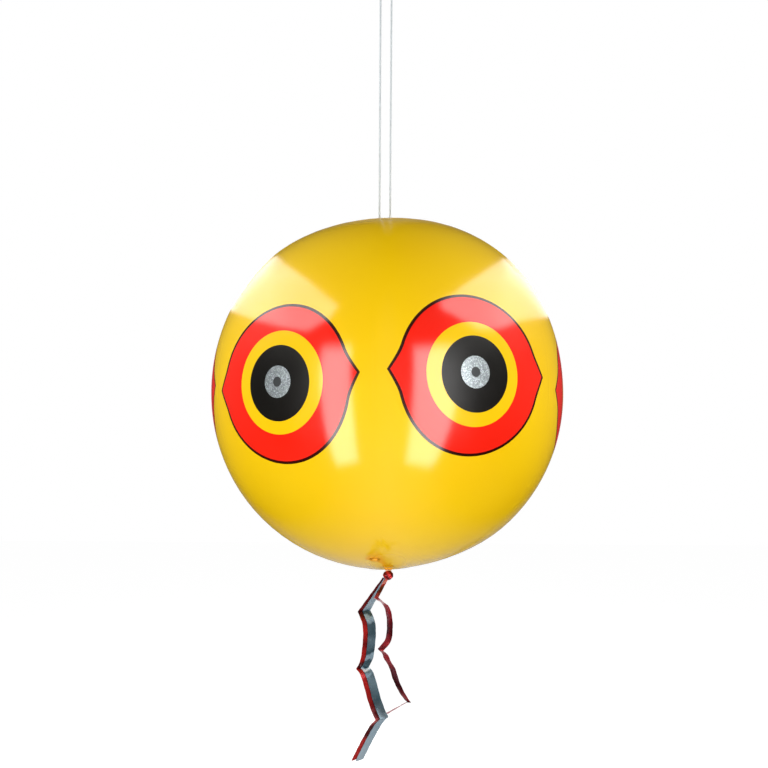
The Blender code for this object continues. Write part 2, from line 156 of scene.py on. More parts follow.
class Nodes:
    """The node tree of a material or a world, with short ways to add and join nodes."""

    def __init__(self, owner):
        self.owner = owner
        owner.use_nodes = True
        self.tree = owner.node_tree
        self.shader = self.tree.nodes.get("Principled BSDF")

    def put(self, socket, value):
        """A link or a plain value in a socket."""
        if isinstance(value, bpy.types.NodeSocket):
            self.tree.links.new(value, socket)
        else:
            socket.default_value = value

    def add(self, kind, inputs=None, **settings):
        node = self.tree.nodes.new("ShaderNode" + kind)
        for key, value in settings.items():
            setattr(node, key, value)
        for key, value in (inputs or {}).items():
            self.put(node.inputs[key], value)
        return node

    def set(self, **sockets):
        for key, value in sockets.items():
            self.put(self.shader.inputs[key.replace("_", " ")], value)
        return self.owner

    def surface(self, socket):
        """Puts a socket in the shader's place as the material's surface."""
        self.tree.nodes.remove(self.shader)
        self.put(self.tree.nodes["Material Output"].inputs["Surface"], socket)
        return self.owner

    def math(self, operation, *values, clamp=False):
        inputs = dict(enumerate(values))
        return self.add("Math", inputs, operation=operation, use_clamp=clamp).outputs[0]

    def field(self, name):
        """A value that each of the mesh's points holds under a name."""
        return self.add("Attribute", attribute_name=name).outputs["Fac"]

    def towards(self, tint, share, target):
        """The tint, going over to the target colour with the share."""
        inputs = {0: share, 6: tint, 7: (*colour(*target), 1)}
        return self.add("Mix", inputs, data_type="RGBA").outputs[2]

    def object_place(self):
        return self.add("TexCoord").outputs["Object"]

    def noise(self, scale, detail=3):
        values = {"Vector": self.object_place(), "Scale": scale, "Detail": detail}
        return self.add("TexNoise", values).outputs["Fac"]

    def ramp(self, value, stops):
        node = self.add("ValToRGB", {"Fac": value})
        ramp = node.color_ramp
        while len(ramp.elements) < len(stops):
            ramp.elements.new(0.5)
        for element, (position, tone) in zip(ramp.elements, stops):
            element.position = position
            element.color = (*colour(*tone), 1)
        return node.outputs["Color"]

    def bump(self, height, strength, distance, **under):
        values = {"Height": height, "Strength": strength, "Distance": distance, **under}
        return self.add("Bump", values).outputs["Normal"]

    def to_range(self, value, low, high):
        values = {"Value": value, "To Min": low, "To Max": high}
        return self.add("MapRange", values).outputs["Result"]


def material_nodes(name):
    return Nodes(bpy.data.materials.new(name))


def film_material(name, base, dark, gloss=0.14, ior=1.5, grain=0.0, shade_and_weld=None, seam=None):
    """Printed PVC film: an even colour with faint ink variation, and a soft gloss. Where its
    mesh has the fold attribute it goes deeper in colour and hardly shines, as painted shade round
    the valve and as a weld's deeper colour; where it has dull it is matt, and where it has seam it
    is a dark line."""
    nodes = material_nodes(name)
    tint = nodes.ramp(nodes.noise(9, 2), [(0.3, dark), (0.65, base)])
    # Painted shade round the valve, and the colour of welds: deeper colour and less shine where the
    # fold attribute is
    if shade_and_weld:
        fold = nodes.field("fold")
        tint = nodes.towards(tint, fold, shade_and_weld)
        nodes.set(Specular_IOR_Level=nodes.to_range(fold, 0.5, 0.06))
    if seam:
        tint = nodes.towards(tint, nodes.field("seam"), seam)
    normal = nodes.bump(nodes.noise(14, 1), 0.25, 0.0004)
    if grain:
        normal = nodes.bump(nodes.noise(1400, 1), grain, 0.0002, Normal=normal)
    smear = nodes.to_range(nodes.noise(23, 3), gloss * 0.8, gloss * 1.25)
    if shade_and_weld:
        smear = nodes.math("MULTIPLY_ADD", nodes.field("dull"), 0.36, smear)
    return nodes.set(Base_Color=tint, Roughness=smear, IOR=ior, Normal=normal)


def foil_material(name, painted_glint, light, dark, sheen, roughness=0.22):
    """Metallised streamer film, with painted reflection and shade: a tone per crease, from the
    tape's own tone attribute, dark, lit or a painted glint, and highlights in the sheen's colour."""
    nodes = material_nodes(name)
    # Painted reflection and shade: the tone attribute runs from dark through lit to the painted
    # glint
    tint = nodes.ramp(nodes.field("tone"), [(0.0, dark), (0.8, light), (1.0, painted_glint)])
    normal = nodes.bump(nodes.noise(260, 2), 0.35, 0.0004)
    rough = nodes.to_range(nodes.noise(420, 2), roughness * 0.7, roughness * 1.4)
    return nodes.set(Base_Color=tint, Metallic=0.2, Roughness=rough, Normal=normal,
                     Specular_Tint=(*sheen, 1))


def hologram_material():
    """Metallised sticker film with a fine glitter that shifts in hue."""
    nodes = material_nodes("Holographic film")
    cells = nodes.add("TexVoronoi", {"Vector": nodes.object_place(), "Scale": 1150})
    grain = nodes.add("SeparateColor", {"Color": cells.outputs["Color"]})
    level = nodes.to_range(nodes.math("POWER", grain.outputs["Red"], 3.0), 0.31, 0.78)
    shift = nodes.to_range(grain.outputs["Green"], 0.45, 0.62)
    hue = nodes.add("CombineColor", {"Red": shift, "Green": 0.13, "Blue": level}, mode="HSV")
    rough = nodes.to_range(grain.outputs["Blue"], 0.28, 0.42)
    normal = nodes.bump(cells.outputs["Distance"], 0.35, 0.0003)
    return nodes.set(Base_Color=hue.outputs["Color"], Metallic=0.6, Roughness=rough,
                     Normal=normal)


def cord_material():
    """White braided cord, with a painted highlight on its fibres' crowns: paler where the fibre
    noise that bumps it stands higher.
    """
    nodes = material_nodes("White cord")
    fibre = nodes.noise(2200, 2)
    tint = nodes.ramp(fibre, [(0.3, (186, 194, 197)), (0.7, (210, 216, 218))])
    normal = nodes.bump(fibre, 0.4, 0.0002)
    return nodes.set(Base_Color=tint, Roughness=0.45, Normal=normal)


# The yellow film's deep orange is painted shade round the valve, and the weld's colour round the
# neck
YELLOW = film_material("Yellow film", (251, 205, 14), (249, 200, 12), shade_and_weld=(244, 173, 2))
# The neck's tan is painted shade and floor reflection on its yellow film under the ball; its orange
# band is the weld at its root
NECK = film_material("Welded neck film", (200, 152, 92), (188, 138, 76), 0.3,
                     shade_and_weld=(232, 160, 24), seam=(120, 66, 14))
RED = film_material("Red ink", (252, 38, 20), (248, 32, 15))
BLACK = film_material("Black ink", (17, 15, 12), (12, 10, 8), 0.32, 1.33, 0.6)
DARK = film_material("Outline ink", (58, 14, 8), (46, 10, 6))
# The foils' dark, light and glint colours are painted shade, reflection and highlight
SILVER_FOIL = foil_material("Silver foil", (236, 242, 246), (150, 174, 188), (44, 70, 80),
                            (0.7, 0.85, 1.0))
RED_FOIL = foil_material("Red foil", (244, 236, 236), (190, 40, 36), (48, 6, 10),
                         (1.0, 0.35, 0.4))
# A copy of the red foil for the short tape, with pinker painted reflection and highlight
PINK_LIT_RED_FOIL = foil_material("Red foil with pink painted light", (248, 226, 228), (184, 48, 56), (44, 6, 12),
                          (1.0, 0.35, 0.45))
HOLOGRAM = hologram_material()
GREY_DOT = film_material("Grey dot", (61, 63, 64), (52, 54, 55), 0.3)
# The valve's yellow-orange vinyl, darkened to the painted shade round the valve so that it blends
# into it
VINYL = film_material("Valve vinyl", (228, 162, 10), (216, 152, 6), 0.42)
CORD = cord_material()


# Shapes on the ball
def pucker(latitude, longitude):
    """How far the film stands off the ball's round form: weld grooves and puckers."""
    across = (longitude - FRONT_SEAM + GORE_ANGLE / 2) % GORE_ANGLE - GORE_ANGLE / 2
    seam = np.abs(across) * BALL_RADIUS * np.cos(latitude)
    groove = GROOVE_DEPTH * np.exp(-((seam / GROOVE_WIDTH) ** 2))
    tilt = np.abs(latitude)
    polar = rising(tilt, *PUCKER_GROWS) ** 2 * rising(tilt, *PUCKER_ENDS)
    waves = np.cos(across * PUCKER_WAVES) * np.exp(-((seam / PUCKER_REACH) ** 2))
    return PUCKER_HEIGHT * polar * waves - groove


def flattened(latitude, longitude, pole, form):
    """How far the film lies inside the ball's round form near a pole, as a share of the radius."""
    share, lean, reach, softness = form
    lean, reach, softness = np.radians((lean, reach, softness))
    along = pole * np.sin(latitude) * cos(lean)
    along = along + np.cos(latitude) * np.sin(longitude) * sin(lean)
    start = rising(np.arccos(np.clip(along, -1, 1)), reach, -softness)
    return share * start * start * (3 - 2 * start)


def from_ball(points):
    """Points in the ball's own axes, from its centre, to the row frame."""
    return np.asarray(points) @ TILT.T + BALL_CENTRE


def ball_points(latitude, longitude, lift=0.0):
    """Points on the film, in the row frame."""
    latitude, longitude = np.broadcast_arrays(latitude, longitude)
    upper = UPPER_SHOULDER + SIDE_SHOULDER * np.sin(longitude)
    shoulder = np.where(latitude > 0, upper, LOWER_SHOULDER)
    form = 1 + shoulder * np.sin(2 * latitude) ** 2
    form = form - flattened(latitude, longitude, 1, TOP_FLAT)
    form = form - flattened(latitude, longitude, -1, BOTTOM_FLAT)
    radius = BALL_RADIUS * form + pucker(latitude, longitude) + lift
    flat = np.cos(latitude)
    way = [flat * np.sin(longitude), -flat * np.cos(longitude), np.sin(latitude)]
    return from_ball(np.stack(way, axis=-1) * radius[..., None])


def ball_normals(latitude, longitude):
    latitude = np.clip(latitude, POLE_GAP - pi / 2, pi / 2 - POLE_GAP)
    turn = SLOPE_STEP
    north = ball_points(latitude + turn, longitude) - ball_points(latitude - turn, longitude)
    east = ball_points(latitude, longitude + turn) - ball_points(latitude, longitude - turn)
    normal = np.cross(east, north)
    return normal / np.linalg.norm(normal, axis=-1, keepdims=True)


def polar_to_ball(latitude, longitude, distance, bearing):
    """Latitude and longitude of points at a distance and bearing (radians) from a place."""
    x = np.sin(distance) * np.cos(bearing)
    y = np.sin(distance) * np.sin(bearing)
    z = np.cos(distance)
    north = y * cos(latitude) + z * sin(latitude)
    out = z * cos(latitude) - y * sin(latitude)
    return np.arcsin(north), longitude + np.arctan2(x, out)


def new_object(name, data):
    obj = bpy.data.objects.new(name, data)
    bpy.context.scene.collection.objects.link(obj)
    return obj


def new_piece(name, vertices, faces, material, smooth=True):
    mesh = bpy.data.meshes.new(name)
    mesh.from_pydata([tuple(v) for v in vertices], [], faces)
    mesh.materials.append(material)
    if smooth:
        mesh.shade_smooth()
    return new_object(name, mesh)


def weld_points(mesh, distance, sliver=0.0):
    """Joins the points that lie nearer than a distance, and faces the mesh outwards."""
    bm = bmesh.new()
    bm.from_mesh(mesh)
    bmesh.ops.remove_doubles(bm, verts=bm.verts, dist=distance)
    if sliver:
        bmesh.ops.dissolve_degenerate(bm, edges=bm.edges, dist=sliver)
    bmesh.ops.recalc_face_normals(bm, faces=bm.faces)
    bm.to_mesh(mesh)
    bm.free()


def set_field(obj, name, values):
    """A value for each point of the mesh, which its material reads by the name."""
    attribute = obj.data.attributes.new(name, "FLOAT", "POINT")
    attribute.data.foreach_set("value", np.asarray(values, np.float32))


def places_on_ball(mesh):
    """The latitude, longitude and distance from the ball's middle of the mesh's points."""
    co = np.empty(len(mesh.vertices) * 3)
    mesh.vertices.foreach_get("co", co)
    local = (co.reshape(-1, 3) - BALL_CENTRE) @ TILT
    radius = np.linalg.norm(local, axis=1)
    latitude = np.arcsin(np.clip(local[:, 2] / radius, -1, 1))
    return latitude, np.arctan2(local[:, 0], -local[:, 1]), radius


def set_ball_normals(mesh):
    """Smooth normals that follow the ball, so that pieces of film meet without a crease."""
    latitude, longitude, radius = places_on_ball(mesh)
    normal = ball_normals(latitude, longitude)
    outer = np.linalg.norm(ball_points(latitude, longitude) - BALL_CENTRE, axis=1)
    normal[radius < outer - FILM / 2] *= -1
    mesh.normals_split_custom_set_from_vertices([tuple(n) for n in normal])


def ring_quad(first, last, k, around):
    """The quad between two rings of points, from point k of each to the next one round."""
    m = (k + 1) % around
    return [first + k, first + m, last + m, last + k]


def shell(name, sheets, material, lift=0.0, thickness=FILM):
    """Closed film through sheets of (latitudes, longitudes) grids: rings by points around.
    A ring closes on itself, and a sheet whose first ring is one point is a disc."""
    vertices, faces = [], []
    for latitude, longitude in sheets:
        rings, around = latitude.shape
        outer = ball_points(latitude, longitude, lift)
        inner = outer - ball_normals(latitude, longitude) * thickness
        start_outer = len(vertices)
        start_inner = start_outer + rings * around
        vertices.extend(outer.reshape(-1, 3))
        vertices.extend(inner.reshape(-1, 3))
        for ring in range(rings - 1):
            here, there = ring * around, (ring + 1) * around
            for k in range(around):
                faces.append(ring_quad(start_outer + here, start_outer + there, k, around)[::-1])
                faces.append(ring_quad(start_inner + here, start_inner + there, k, around))
        for ring, order in ((0, 1), (rings - 1, -1)):
            here = ring * around
            for k in range(around):
                edge = ring_quad(start_outer + here, start_inner + here, k, around)
                faces.append(edge[::order])
    obj = new_piece(name, vertices, faces, material)
    weld_points(obj.data, SHELL_WELD, SHELL_SLIVER)
    set_ball_normals(obj.data)
    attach(obj, "balloon")
    return obj


def eye_outline(angle, look):
    """The eye's edge by bearing: nearly a circle, drawn out to a point on each side."""
    distance = EYE + EYE_WIDER * np.cos(angle) ** 2
    lean = EYE_LEAN * np.cos(angle) - EYE_SQUARE * np.cos(3 * angle)
    distance = distance + look["lean"] * lean
    for bearing, height in look["tips"]:
        away = np.abs((angle - radians(bearing) + pi) % (2 * pi) - pi)
        point = rising(away, TIP_SPREAD, -TIP_SPREAD) ** TIP_SHARPNESS
        distance = distance + radians(height) * point
    return distance


def perimeter(low, high, start, sides, ends):
    """Points round a gore's edge from the given latitude on its east side, anticlockwise,
    as (latitude, offset from the gore's middle)."""

    def run(first, last, count=sides // 2):
        return np.linspace(first, last, count, endpoint=False)

    half = GORE_ANGLE / 2
    side = np.full(sides // 2, half)
    end = run(half, -half, ends)
    latitude = np.concatenate([run(start, high), np.full(ends, high), run(high, start),
                               run(start, low), np.full(ends, low), run(low, start)])
    return latitude, np.concatenate([side, end, -side, -side, -end, side])


def lerp_sheet(first, last, steps, power=1.0):
    """A sheet between two rings of (latitudes, longitudes)."""
    share = (np.linspace(0, 1, steps + 1) ** power)[:, None]
    return tuple(a[None] * (1 - share) + b[None] * share for a, b in zip(first, last))


def stacked(rings):
    return tuple(np.array(part) for part in zip(*rings))


def eye_bearings(tips):
    """Bearings all round, with one exactly on each tip of the eye."""
    first, second = (radians(bearing) for bearing, height in tips)
    half = SPOKES // 2
    upper = np.linspace(first, second, half, endpoint=False)
    lower = np.linspace(second, first + 2 * pi, half, endpoint=False)
    return np.concatenate([upper, lower])


# Painted shade round the valve, where the film would dip towards it in shade, is a wedge in
# metres east and north of the valve's middle. Its lower edge is a clean curve: height in the
# middle, slope, bend and softness
VALVE_SHADE_EDGE = (-0.0074, -1.16, -53.2, 0.0012)
# Where it starts and ends, as (start, width)
VALVE_SHADE_WEST = (-0.0106, 0.0014)
VALVE_SHADE_TOP = (0.03, -0.024)
VALVE_SHADE_REACH = 0.03
# Its other two sides are soft: a point, the way in from the side, and how soft it is. At the
# point the painted shade is at SIDE_LEVEL of its most.
SIDE_LEVEL = 0.9
VALVE_SHADE_LEFT = ((-0.0097, -0.0006), (0.89, -0.456), 0.0035)
VALVE_SHADE_RIGHT = ((0.0045, 0.0228), (-0.992, -0.125), 0.006)
# Painted shade along the wedge's lower edge: how far up it fades, and where it ends to the east
RIM_SHADE_DEPTH = 0.0045
RIM_SHADE_EAST = (0.0095, -0.003)
# Painted shade of a shallow crease east of it: its middle, its size and its depth of colour
CREASE_SHADE = ((0.0129, 0.0077), (0.0026, 0.0045), 0.4)
# The weld round the neck, in metres from the neck's middle, and the matt film round it
WELD_SIDE = (0.0062, -0.0008)
WELD_END = (0.00576, -0.0018)
WELD_RISE = 0.0072
WELD_DEPTH = 0.9
MATT_SIDE = (0.0208, -0.013)
MATT_TALLER = 0.36
# Matt under the cord, from this latitude in degrees
MATT_TOP = (60, 10)


def soft_side(east, north, side):
    (x, y), (run, rise), softness = side
    inwards = (east - x) * run + (north - y) * rise
    return np.clip(SIDE_LEVEL + inwards / softness, 0, 1)


def off_from(place, latitude, longitude):
    """How far points are east and north of a place on the ball, in metres."""
    east = (longitude - place[1]) * cos(place[0]) * BALL_RADIUS
    return east, (latitude - place[0]) * BALL_RADIUS


def mark_film(obj):
    """The film's fold attribute: painted shade, deep in colour, round the valve, and the weld's
    deeper colour round the neck; and its dull attribute, matt round the neck and under the cord."""
    latitude, longitude, radius = places_on_ball(obj.data)
    east, north = off_from(VALVE, latitude, longitude)
    height, slope, bend, softness = VALVE_SHADE_EDGE
    above = north - (height + slope * east + bend * east ** 2)
    edge = rising(above, 0, softness) * rising(east, *VALVE_SHADE_WEST)
    # Painted shade: a wedge of deeper orange round the valve, soft on two sides
    valve_shade = edge * soft_side(east, north, VALVE_SHADE_LEFT) * soft_side(east, north, VALVE_SHADE_RIGHT)
    valve_shade = valve_shade * rising(north, *VALVE_SHADE_TOP)
    # Painted shade along its lower edge, and in a shallow crease east of it
    rim_shade = edge * np.exp(-above / RIM_SHADE_DEPTH) * rising(east, *RIM_SHADE_EAST)
    (x, y), (wide, tall), strength = CREASE_SHADE
    crease = strength * np.exp(-((east - x) / wide) ** 2 - ((north - y) / tall) ** 2)
    fold = np.maximum(np.maximum(valve_shade, rim_shade), crease)
    fold[np.hypot(east, north) > VALVE_SHADE_REACH] = 0
    ring, rise = off_from(TAIL, latitude, longitude)
    weld = rising(np.abs(ring), *WELD_SIDE) * rising(np.abs(rise - WELD_RISE), *WELD_END)
    set_field(obj, "fold", np.maximum(fold, WELD_DEPTH * weld))
    matt = rising(np.hypot(ring, rise * MATT_TALLER), *MATT_SIDE)
    set_field(obj, "dull", np.maximum(matt, rising(np.degrees(latitude), *MATT_TOP)))


def film_patch(name, node, rings, lift, press):
    """A piece of yellow film laid on the ball, with each of its rings pressed down by a depth."""
    lift = lift - np.array(press)[:, None]
    piece = shell(name, [stacked(rings)], YELLOW, lift=lift, thickness=CAP_FILM)
    mark_film(piece)
    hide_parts(node)


def hole_sheet(middle):
    """The front gore's lower panel, with the valve's round hole in it."""
    level = (VALVE_PANEL_TOP - TIP_LATITUDE) / 2
    latitude, offset = perimeter(-TIP_LATITUDE, VALVE_PANEL_TOP, level, PANEL_SIDES,
                                 SPOKES // 2 - PANEL_SIDES)
    longitude = middle + offset
    east, north = off_from(VALVE, latitude, longitude)
    hole = polar_to_ball(*VALVE, VALVE_HOLE / BALL_RADIUS, np.arctan2(north, east))
    return lerp_sheet(hole, (latitude, longitude), *HOLE_RINGS)


def build_gore(index):
    """A gore's yellow film, the print of its eye and the sticker in the eye's middle."""
    middle = FRONT_SEAM + (index - 0.5) * GORE_ANGLE
    look = LEFT_EYE if index % 2 == 0 else RIGHT_EYE
    bearing = eye_bearings(look["tips"])

    def ring_at(what, distance):
        latitude, offset = look[what]
        up, along = PRINT_SHIFT.get(index, (0, 0)) if what != "sticker" else (0, 0)
        return polar_to_ball(radians(latitude + up), middle + radians(offset + along),
                             distance, bearing)

    outline = eye_outline(bearing, look)
    bottom = VALVE_PANEL_TOP if index == 0 else -TIP_LATITUDE
    latitude, offset = perimeter(bottom, TIP_LATITUDE, radians(look["outline"][0]),
                                 EDGE_SIDES, SPOKES // 2 - EDGE_SIDES)
    line = [ring_at("outline", outline + OUTLINE * share) for share in (-0.5, 0, 0.5)]
    black_edge = ring_at("pupil", PUPIL * (1 + PUPIL_TALLER * np.sin(bearing) ** 2))
    iris_edge = ring_at("iris", IRIS)
    sheets = [lerp_sheet(line[-1], (latitude, middle + offset), *EDGE_RINGS),
              lerp_sheet(black_edge, iris_edge, IRIS_RINGS)]
    if index == 0:
        sheets.append(hole_sheet(middle))
    film = shell(f"gore_film_{index + 1}", sheets, YELLOW)
    mark_film(film)
    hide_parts(f"gore_{index + 1}")
    for name, sheet, material in (
        ("eye_red", lerp_sheet(iris_edge, line[0], RED_RINGS), RED),
        ("eye_outline", stacked(line), DARK),
        ("eye_pupil", lerp_sheet(ring_at("pupil", 0 * bearing), black_edge, PUPIL_RINGS), BLACK),
    ):
        shell(f"{name}_{index + 1}", [sheet], material)
    for name, distances, material in (
        ("sticker", np.linspace(STICKER_DOT, STICKER, 4), HOLOGRAM),
        ("sticker_dot", np.linspace(0, STICKER_DOT, 3), GREY_DOT),
    ):
        rings = stacked([ring_at("sticker", distance) for distance in distances])
        disc = shell(f"{name}_{index + 1}", [rings], material, lift=STICKER_LIFT + FILM)
        if name == "sticker":
            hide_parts(f"eye_disc_{index + 1}")


for gore_index in range(GORES):
    build_gore(gore_index)


# Round patches over the gores' points, with a ring of weld pressed into each. Their edge is a
# little ragged: (share of the radius, waves round, shift between top and bottom)
CAP_RADIUS = 0.03
CAP_RAGGED = ((0.006, 5, 1), (0.004, 9, 0))
CAP_SHARES = (0, 0.15, 0.4, 0.65, 0.82, 0.88, 0.92, 0.96, 1.0)
CAP_PRESS = (0, 0, 0, 0, 0, 0.00018, 0.00018, 0.0001, 0.00064)
for name, pole, rise in (("top_cap", 1, 0.0004), ("bottom_cap", -1, -0.0001)):
    bearing = bearings_round(CAP_POINTS)
    size = CAP_RADIUS / BALL_RADIUS
    for part, waves, shift in CAP_RAGGED:
        size = size + CAP_RADIUS / BALL_RADIUS * part * np.sin(waves * bearing + shift * pole)
    rings = [polar_to_ball(pole * pi / 2, 0, size * share, bearing * pole)
             for share in CAP_SHARES]
    film_patch(f"{name}_film", name, rings, rise + CAP_FILM, CAP_PRESS)


def loft(name, sections, material, body, loop_closed=False, caps=False):
    """Quads over sections of points; each section closes on itself."""
    count = len(sections[0])
    faces = []
    for i in range(len(sections) if loop_closed else len(sections) - 1):
        j = (i + 1) % len(sections)
        for k in range(count):
            faces.append(ring_quad(i * count, j * count, k, count))
    if caps:
        faces.append(list(range(count))[::-1])
        faces.append([(len(sections) - 1) * count + k for k in range(count)])
    obj = new_piece(name, [v for section in sections for v in section], faces, material)
    weld_points(obj.data, LOFT_WELD)
    if body:
        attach(obj, body)
    return obj


# The hanging tab: a rounded plate with a beaded hole, on a round foot
TAB_BASE = BALL_RADIUS * (1 - TOP_FLAT[0]) + CAP_FILM + 0.0004
TAB_HOLE = 0.0046 / 2
TAB_HOLE_HEIGHT = BALL_RADIUS + CAP_FILM + 0.0013 + TAB_HOLE
TAB_SIDE = 0.014 / 2
TAB_TOP = TAB_HOLE + 0.0016
TAB_DROP = TAB_HOLE_HEIGHT - TAB_BASE - 0.0002
# From the hole's edge to the tab's: (share of the way, half the thickness there)
TAB_PROFILE = (
    (0, 0.0009), (0.12, 0.0011), (0.25, 0.0009), (0.35, 0.00055), (0.92, 0.0005), (1.0, 0.00025),
)
# The foot, as a (radius, height) profile turned about the ball's axis
FOOT_PROFILE = (
    (0.0, 0.0006), (0.004, 0.0006), (0.0075, 0.00055), (0.0086, 0.0004), (0.009, 0.00012),
    (0.009, 0.0), (0.0, 0.0),
)


def tab_reach(c, s):
    """How far the tab's edge is from the hole's middle: an arch above it, straight below."""
    if s > 0:
        return 1 / hypot(c / TAB_SIDE, s / TAB_TOP)
    return min(TAB_SIDE / max(abs(c), 1e-6), TAB_DROP / max(abs(s), 1e-6))


def build_tab():
    rim = [(0, 0.0), *TAB_PROFILE, *((share, -half) for share, half in reversed(TAB_PROFILE))]
    sections = []
    for angle in bearings_round(ROUND_POINTS):
        c, s = cos(angle), sin(angle)
        width = tab_reach(c, s) - TAB_HOLE
        radii = [(half, TAB_HOLE + width * share) for share, half in rim]
        sections.append(from_ball([(half, c * r, TAB_HOLE_HEIGHT + s * r) for half, r in radii]))
    tab = loft("hang_tab_film", sections, YELLOW, "balloon", loop_closed=True)
    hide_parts("hang_tab")


def build_foot():
    around = bearings_round(ROUND_POINTS)
    sections = []
    for radius, height in FOOT_PROFILE:
        level = np.full(ROUND_POINTS, TAB_BASE + height)
        ring = np.stack([radius * np.cos(around), radius * np.sin(around), level], axis=1)
        sections.append(from_ball(ring))
    loft("hang_tab_foot", sections, YELLOW, "balloon")


build_tab()
build_foot()


# The cord
def smooth_route(points, step):
    """Points about a step apart on a smooth curve through the route's points."""
    padded = [2 * points[0] - points[1], *points, 2 * points[-1] - points[-2]]
    route = []
    for i in range(len(points) - 1):
        p0, p1, p2, p3 = padded[i:i + 4]
        pieces = max(1, round((p2 - p1).length / step))
        for k in range(pieces):
            t = k / pieces
            route.append(
                0.5 * (2 * p1 + (p2 - p0) * t + (2 * p0 - 5 * p1 + 4 * p2 - p3) * t ** 2
                       + (3 * p1 - p0 - 3 * p2 + p3) * t ** 3)
            )
    route.append(points[-1])
    return route


def distances(path):
    """How far along a path each of its points is."""
    return np.cumsum([0, *((b - a).length for a, b in zip(path, path[1:]))])


# The braid: its pitch in diameters, and how much its strands stand out
BRAID_PITCH = 2.6
BRAID_RELIEF = 0.06
BRAID_STRANDS = 4


def braided_tube(name, path):
    """A closed tube with the low relief of a round braid, along a path of points."""
    sections = []
    side = Vector((0, 1, 0))
    for i, (point, travelled) in enumerate(zip(path, distances(path))):
        ahead = path[min(i + 1, len(path) - 1)] - path[max(i - 1, 0)]
        tangent = ahead.normalized()
        side = (side - tangent * side.dot(tangent)).normalized()
        other = tangent.cross(side)
        turn = 2 * pi * travelled / (CORD_DIAMETER * BRAID_PITCH)
        section = []
        for a in bearings_round(CORD_POINTS):
            strand = max(cos(BRAID_STRANDS * a + turn), cos(BRAID_STRANDS * a - turn))
            radius = CORD_DIAMETER / 2 * (1 - BRAID_RELIEF + BRAID_RELIEF * strand)
            section.append(point + (side * cos(a) + other * sin(a)) * radius)
        sections.append(section)
    return loft(name, sections, CORD, None, caps=True)


# The cord's routes, as (x, z): over the support, down its two strands, and through the tab
CORD_STEP = 0.0006
CROWN = (
    (-0.0067, -0.0143), (-0.0067, -0.007), (-0.0067, 0), (-0.0058, 0.00335), (-0.00335, 0.0058),
    (0, 0.0067), (0.00335, 0.0058), (0.0058, 0.00335), (0.0067, 0), (0.0067, -0.004),
    (0.0067, -0.008),
)
LEFT = ((-0.0067, -0.0143), (-0.0066, -0.06), (-0.0066, -0.105), (-0.0065, -0.15))
RIGHT = (
    (0.0067, -0.008), (0.0067, -0.0143), (0.0066, -0.06), (0.0066, -0.105), (0.0065, -0.15),
)
BIGHT = (
    (-0.0065, -0.15), (-0.0064, -0.197), (-0.0063, -0.244), (-0.0063, -0.2887),
    (-0.00546, -0.29185), (-0.00315, -0.29416), (0, -0.295), (0.00315, -0.29416),
    (0.00546, -0.29185), (0.0063, -0.2887), (0.0063, -0.244), (0.0064, -0.197), (0.0065, -0.15),
)
# The knot's turns round the right strand start inside it, and their end stands off a little
KNOT_X = 0.0067
KNOT_TOP = -0.003
KNOT_HEIGHT = 0.0094
KNOT_TURNS = 3.6
KNOT_START = 1.9
KNOT_POINTS = 110
KNOT_RADIUS = 0.0024
KNOT_TUCK = 0.001
KNOT_TUCKED_SHARE = 1 / 9
KNOT_END_STEP = 0.0005
KNOT_END_DROOP = 0.00004


def knot_path():
    path = []
    for i in range(KNOT_POINTS + 1):
        share = i / KNOT_POINTS
        a = 2 * pi * KNOT_TURNS * share + KNOT_START
        radius = KNOT_RADIUS - KNOT_TUCK * max(0, 1 - share / KNOT_TUCKED_SHARE)
        path.append(Vector((KNOT_X + radius * cos(a), radius * sin(a),
                            KNOT_TOP - KNOT_HEIGHT * share)))
    onward = (path[-1] - path[-2]).normalized() * KNOT_END_STEP
    for i in range(1, 9):
        path.append(path[-1] + onward - Vector((0, 0, KNOT_END_DROOP * i)))
    return path


knot = braided_tube("cord_knot_wraps", knot_path())
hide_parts("cord_knot")
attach(knot, "cord_upper")
for name, route, nodes, bodies, start, end, far, on_it in (
    ("cord_crown_loop", CROWN, ("cord_crown", "cord_upper_left"), ("hang_point", "cord_upper"),
     (0, 0, 0.001), (0, 0, -0.013), "knot", [knot]),
    ("cord_left_strand", LEFT, ("cord_left",), ("cord_upper", "cord_lower"),
     (0, 0, -0.014), (0, 0, -0.045), "object", []),
    ("cord_right_strand", RIGHT, ("cord_right",), ("cord_upper", "cord_lower"),
     (0, 0, -0.014), (0, 0, -0.045), "object", []),
    ("cord_bight_loop", BIGHT, ("cord_bight",), ("cord_lower", "balloon"),
     (0, 0, -0.152), (0, 0, -0.268), "object", []),
):
    path = smooth_route([Vector((x, 0, z)) for x, z in route], CORD_STEP)
    piece = braided_tube(name, path)
    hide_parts(*nodes)
    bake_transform(piece)


# The valve in the film, and its plug
VALVE_MIDDLE = ball_points(*VALVE).reshape(3)
VALVE_OUT = ball_normals(*VALVE).reshape(3)
VALVE_EAST = ball_points(VALVE[0], VALVE[1] + 0.001).reshape(3) - VALVE_MIDDLE
VALVE_EAST /= np.linalg.norm(VALVE_EAST)
VALVE_NORTH = np.cross(VALVE_OUT, VALVE_EAST)


def at_valve(x, y, height):
    """A point by its place east and north of the valve's axis, and its height off the film."""
    return VALVE_MIDDLE + VALVE_EAST * x + VALVE_NORTH * y + VALVE_OUT * height


def turned(name, profile, body):
    """A closed (radius, height) profile turned about the valve's axis."""
    sections = []
    for angle in bearings_round(ROUND_POINTS):
        c, s = cos(angle), sin(angle)
        sections.append([at_valve(c * r, s * r, h) for r, h in profile])
    return loft(name, sections, VINYL, body, loop_closed=True)


